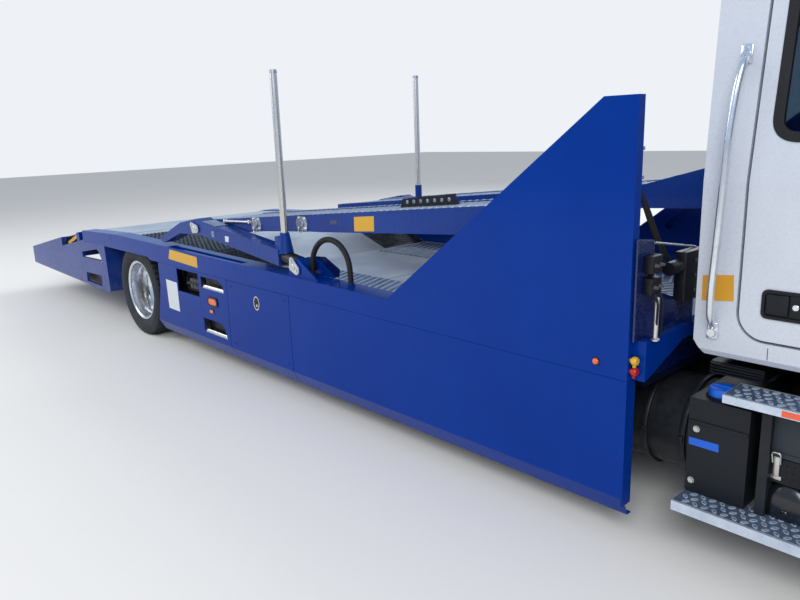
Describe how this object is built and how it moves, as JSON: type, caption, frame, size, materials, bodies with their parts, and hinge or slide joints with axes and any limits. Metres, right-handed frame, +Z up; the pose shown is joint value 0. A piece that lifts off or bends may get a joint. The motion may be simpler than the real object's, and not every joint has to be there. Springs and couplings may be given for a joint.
{
  "type": "car transporter truck",
  "caption": "Conventional-cab car transporter truck with a low flat deck, hinged lift runways, finned side panels, hinged tool doors and a sloping tail.",
  "frame": {"origin": "middle of the whole vehicle's length and width, on the ground under the tyres", "axes": "+X forward along the truck, +Y to its left, +Z up"},
  "size_m": [11.855, 2.72, 2.742],
  "materials": {
    "cab_white": "gloss",
    "body_blue": "gloss",
    "deck_steel": "galvanised",
    "chassis_black": "satin",
    "skid_blue": "gloss",
    "rim_silver": "polished",
    "tyre_rubber": "matt",
    "hose_rubber": "matt",
    "post_steel": "brushed",
    "tank_metal": "satin",
    "cast_block": "cast",
    "chrome_trim": "polished",
    "lamp_glass": "clear",
    "lamp_plastic": "gloss",
    "window_glass": "tinted",
    "cab_trim": "matt"
  },
  "bodies": {
    "truck": {"air_tanks": "chassis_black", "battery_box": "chassis_black", "cab_back": "cab_white", "cab_floor": "chassis_black", "cab_front": "cab_white", "cab_glass": "window_glass", "cab_interior": "cab_trim", "cab_roof": "cab_white", "cab_sides": "cab_white", "chassis_frame": "chassis_black", "deck": "deck_steel", "def_tank": "chassis_black", "engine": "cast_block", "exhaust_drum": "chassis_black", "front_axle": "chassis_black", "front_bumper": "cab_white", "fuel_tank": "tank_metal", "lift_hose": "hose_rubber", "marker_lamps": "lamp_plastic", "rear_axle": "chassis_black", "side_beams": "body_blue", "skirts": "body_blue", "tail_frame": "body_blue"},
    "hood": {"hood": "cab_white", "grille": "chrome_trim", "headlamps": "lamp_glass"},
    "cab_door_left": {"cab_door_left": "cab_white", "door_glass_left": "window_glass"},
    "cab_door_right": {"cab_door_right": "cab_white", "door_glass_right": "window_glass"},
    "tool_door_left": {"tool_door_left": "body_blue"},
    "tool_door_right": {"tool_door_right": "body_blue"},
    "skid_left": {"skid_left": "skid_blue", "post_left": "post_steel"},
    "skid_right": {"skid_right": "skid_blue"},
    "lift_arm_left": {"lift_arm_left": "body_blue"},
    "lift_arm_right": {"lift_arm_right": "body_blue", "post_right": "post_steel"},
    "knuckle_left": {"knuckle_left": "chassis_black"},
    "knuckle_right": {"knuckle_right": "chassis_black"},
    "tie_rod": {"tie_rod": "chassis_black"},
    "front_wheel_left": {"front_rim_left": "rim_silver", "front_tyre_left": "tyre_rubber"},
    "front_wheel_right": {"front_rim_right": "rim_silver", "front_tyre_right": "tyre_rubber"},
    "rear_wheels_left": {"rear_rims_left": "rim_silver", "rear_tyres_left": "tyre_rubber"},
    "rear_wheels_right": {"rear_rims_right": "rim_silver", "rear_tyres_right": "tyre_rubber"}
  },
  "joints": [
    {"name": "rear_wheels_left", "type": "hinge", "parent": "truck", "child": "rear_wheels_left", "pos_m": [-2.4725, 1, 0.464], "axis": [0, 1, 0], "continuous": true},
    {"name": "rear_wheels_right", "type": "hinge", "parent": "truck", "child": "rear_wheels_right", "pos_m": [-2.4725, -1, 0.464], "axis": [0, 1, 0], "continuous": true},
    {"name": "steer_left", "type": "hinge", "parent": "truck", "child": "knuckle_left", "pos_m": [4.8775, 0.88, 0.464], "axis": [0, 0, 1], "range_deg": [-32, 32]},
    {"name": "steer_right", "type": "hinge", "parent": "truck", "child": "knuckle_right", "pos_m": [4.8775, -0.88, 0.464], "axis": [0, 0, 1], "range_deg": [-32, 32]},
    {"name": "tie_rod", "type": "hinge", "parent": "knuckle_left", "child": "tie_rod", "pos_m": [4.6875, 0.78, 0.294], "axis": [0, 0, 1], "range_deg": [-32, 32]},
    {"name": "front_wheel_left", "type": "hinge", "parent": "knuckle_left", "child": "front_wheel_left", "pos_m": [4.8775, 1.04, 0.464], "axis": [0, 1, 0], "continuous": true},
    {"name": "front_wheel_right", "type": "hinge", "parent": "knuckle_right", "child": "front_wheel_right", "pos_m": [4.8775, -1.04, 0.464], "axis": [0, 1, 0], "continuous": true},
    {"name": "cab_door_left", "type": "hinge", "parent": "truck", "child": "cab_door_left", "pos_m": [4.2615, 1.0615, 1.4], "axis": [0, 0, -1], "range_deg": [0, 65]},
    {"name": "cab_door_right", "type": "hinge", "parent": "truck", "child": "cab_door_right", "pos_m": [4.2615, -1.0615, 1.4], "axis": [0, 0, 1], "range_deg": [0, 65]},
    {"name": "hood", "type": "hinge", "parent": "truck", "child": "hood", "pos_m": [5.8225, 0, 0.775], "axis": [0, 1, 0], "range_deg": [0, 65]},
    {"name": "tool_door_left", "type": "hinge", "parent": "truck", "child": "tool_door_left", "pos_m": [-0.1275, 1.212, 0.153], "axis": [-1, 0, 0], "range_deg": [0, 85]},
    {"name": "tool_door_right", "type": "hinge", "parent": "truck", "child": "tool_door_right", "pos_m": [-0.1275, -1.212, 0.153], "axis": [1, 0, 0], "range_deg": [0, 85]},
    {"name": "skid_left", "type": "hinge", "parent": "truck", "child": "skid_left", "pos_m": [2.4275, 0.7625, 1.45], "axis": [0, 1, 0], "range_deg": [0, 7]},
    {"name": "skid_right", "type": "hinge", "parent": "truck", "child": "skid_right", "pos_m": [2.4275, -0.7625, 1.45], "axis": [0, 1, 0], "range_deg": [0, 7]},
    {"name": "lift_arm_left", "type": "hinge", "parent": "truck", "child": "lift_arm_left", "pos_m": [0.3915, 1.185, 1.043], "axis": [0, 1, 0], "range_deg": [0, 16.5]},
    {"name": "lift_arm_right", "type": "hinge", "parent": "truck", "child": "lift_arm_right", "pos_m": [0.3915, -1.185, 1.043], "axis": [0, 1, 0], "range_deg": [0, 16.5]}
  ],
  "couplings": [
    {"joint": "steer_right", "follows": "steer_left", "ratio": 1},
    {"joint": "tie_rod", "follows": "steer_left", "ratio": -1},
    {"joint": "lift_arm_left", "follows": "skid_left", "ratio": 2.35},
    {"joint": "lift_arm_right", "follows": "skid_right", "ratio": 2.35}
  ]
}
